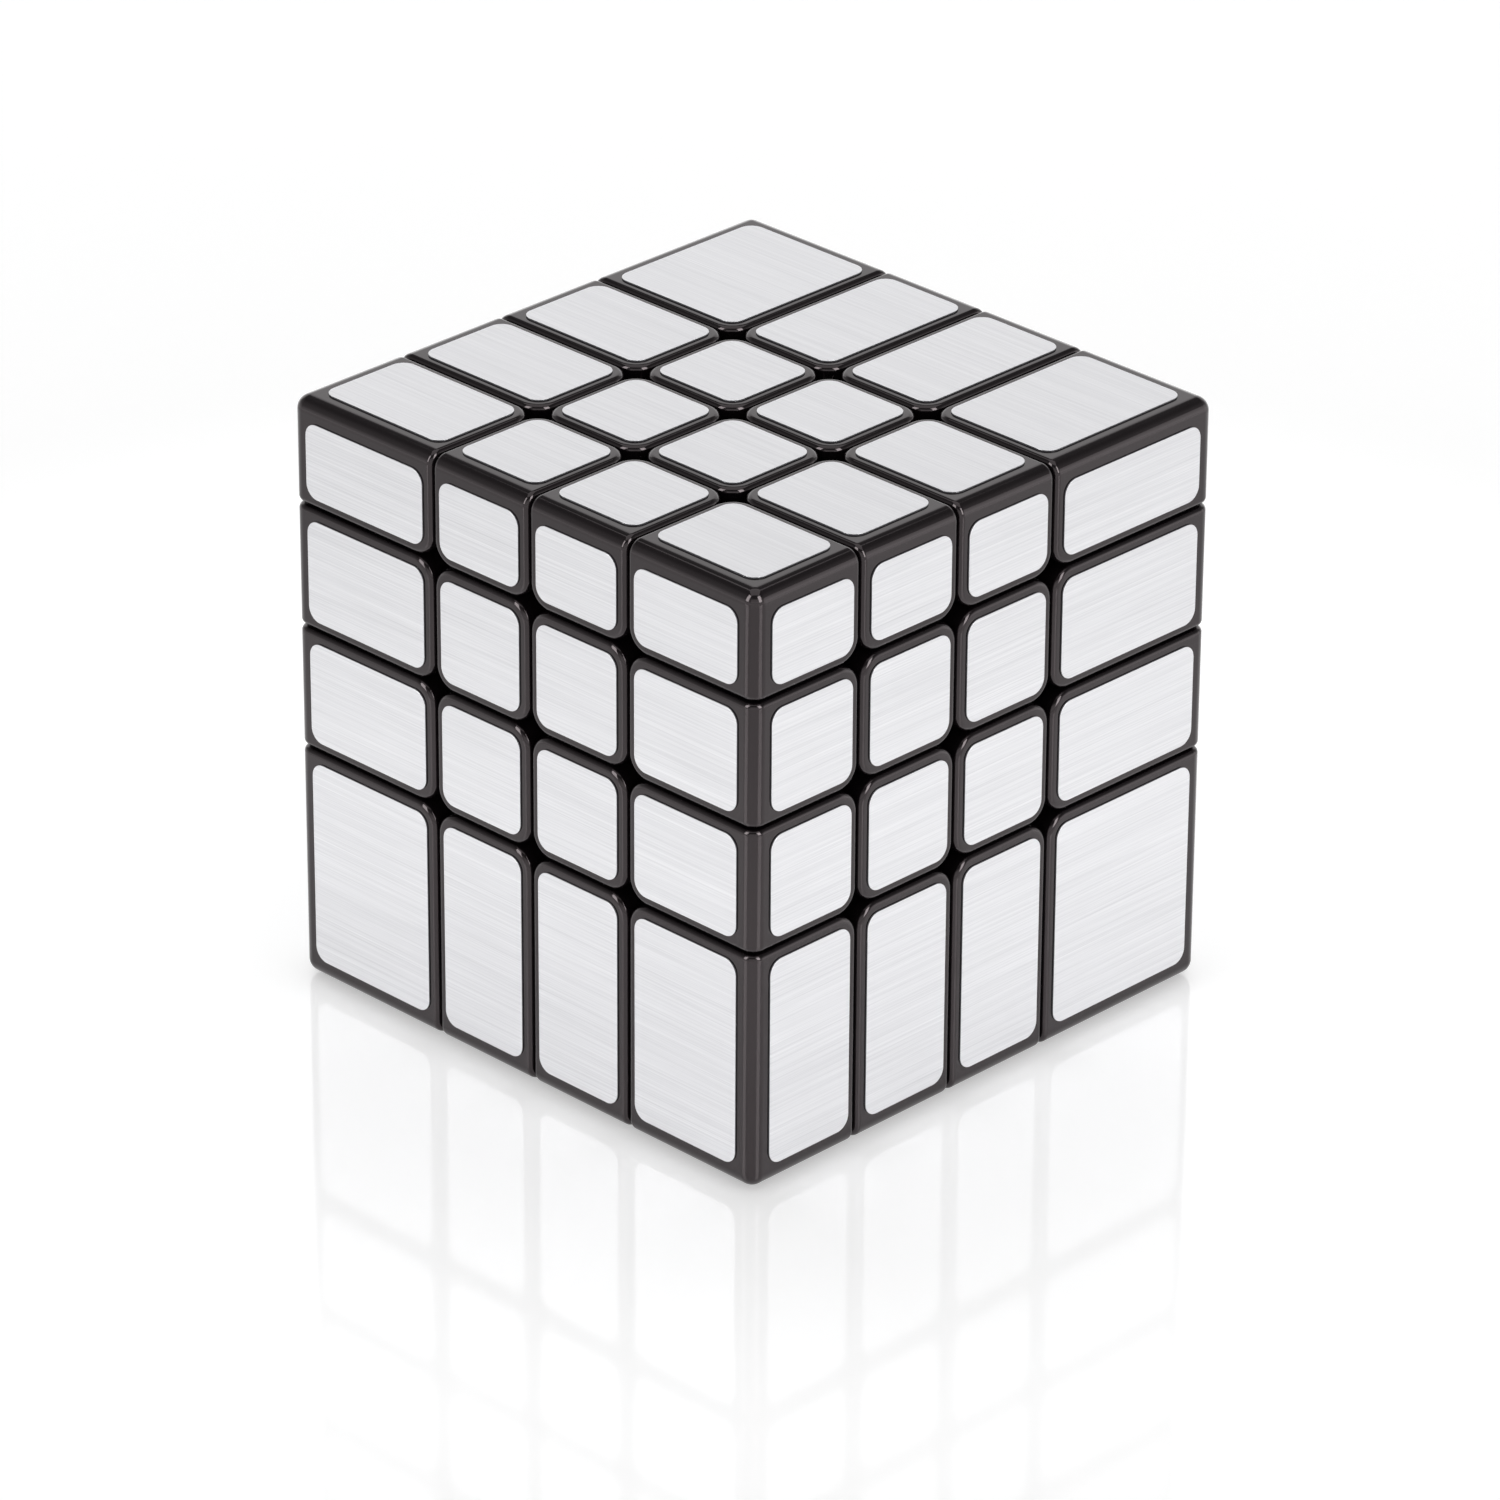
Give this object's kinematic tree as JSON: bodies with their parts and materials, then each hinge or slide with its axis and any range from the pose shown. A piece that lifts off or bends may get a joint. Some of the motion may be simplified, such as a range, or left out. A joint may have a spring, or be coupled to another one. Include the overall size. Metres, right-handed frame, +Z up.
{
  "type": "mirror block cube",
  "caption": "Cube-shaped twisty puzzle of unequal glossy black blocks faced with brushed silver film, with four turning layers.",
  "frame": {"origin": "centre of the underside, on the plane that the bottom films rest on", "axes": "+Z up; -Y is the front face, the one with the second thinnest outer layer; +X is the right face"},
  "size_m": [0.06, 0.06, 0.06],
  "materials": {
    "block_plastic": "glossy moulded black ABS",
    "silver_film": "brushed silver film, straight fine grain",
    "core_plastic": "moulded ivory nylon",
    "cap_plastic": "satin moulded black",
    "guide_plastic": "satin moulded black",
    "screw_steel": "zinc-plated steel",
    "spring_steel": "drawn spring steel",
    "washer_steel": "stamped steel"
  },
  "bodies": {
    "core": {"core_spider": "core_plastic", "guide_blocks_middle": "guide_plastic", "side_caps": "cap_plastic", "spring_washers": "washer_steel", "tension_screws": "screw_steel", "tension_springs": "spring_steel"},
    "bottom_layer": {"bottom_cap": "cap_plastic", "bottom_centres": "block_plastic", "bottom_face_stickers": "silver_film", "bottom_layer_side_stickers": "silver_film", "corner_bottom_back_left": "block_plastic", "corner_bottom_back_right": "block_plastic", "corner_bottom_front_left": "block_plastic", "corner_bottom_front_right": "block_plastic", "edge_bottom_back_left_half": "block_plastic", "edge_bottom_back_right_half": "block_plastic", "edge_bottom_front_left_half": "block_plastic", "edge_bottom_front_right_half": "block_plastic", "edge_bottom_left_back_half": "block_plastic", "edge_bottom_left_front_half": "block_plastic", "edge_bottom_right_back_half": "block_plastic", "edge_bottom_right_front_half": "block_plastic", "guide_blocks_lower": "guide_plastic"},
    "lower_slice": {"back_centres_lower": "block_plastic", "edge_back_left_lower_half": "block_plastic", "edge_back_right_lower_half": "block_plastic", "edge_front_left_lower_half": "block_plastic", "edge_front_right_lower_half": "block_plastic", "front_centres_lower": "block_plastic", "left_centres_lower": "block_plastic", "lower_slice_side_stickers": "silver_film", "right_centres_lower": "block_plastic"},
    "upper_slice": {"back_centres_upper": "block_plastic", "edge_back_left_upper_half": "block_plastic", "edge_back_right_upper_half": "block_plastic", "edge_front_left_upper_half": "block_plastic", "edge_front_right_upper_half": "block_plastic", "front_centres_upper": "block_plastic", "left_centres_upper": "block_plastic", "right_centres_upper": "block_plastic", "upper_slice_side_stickers": "silver_film"},
    "top_layer": {"corner_top_back_left": "block_plastic", "corner_top_back_right": "block_plastic", "corner_top_front_left": "block_plastic", "corner_top_front_right": "block_plastic", "edge_top_back_left_half": "block_plastic", "edge_top_back_right_half": "block_plastic", "edge_top_front_left_half": "block_plastic", "edge_top_front_right_half": "block_plastic", "edge_top_left_back_half": "block_plastic", "edge_top_left_front_half": "block_plastic", "edge_top_right_back_half": "block_plastic", "edge_top_right_front_half": "block_plastic", "guide_blocks_upper": "guide_plastic", "top_cap": "cap_plastic", "top_centres": "block_plastic", "top_face_stickers": "silver_film", "top_layer_side_stickers": "silver_film"}
  },
  "joints": [
    {"name": "bottom_layer_turn", "type": "hinge", "parent": "core", "child": "bottom_layer", "pos_m": [0.00133, -0.00398, 0.03662], "axis": [0, 0, 1], "continuous": true},
    {"name": "lower_slice_turn", "type": "hinge", "parent": "core", "child": "lower_slice", "pos_m": [0.00133, -0.00398, 0.03662], "axis": [0, 0, 1], "continuous": true},
    {"name": "upper_slice_turn", "type": "hinge", "parent": "core", "child": "upper_slice", "pos_m": [0.00133, -0.00398, 0.03662], "axis": [0, 0, 1], "continuous": true},
    {"name": "top_layer_turn", "type": "hinge", "parent": "core", "child": "top_layer", "pos_m": [0.00133, -0.00398, 0.03662], "axis": [0, 0, 1], "continuous": true}
  ]
}
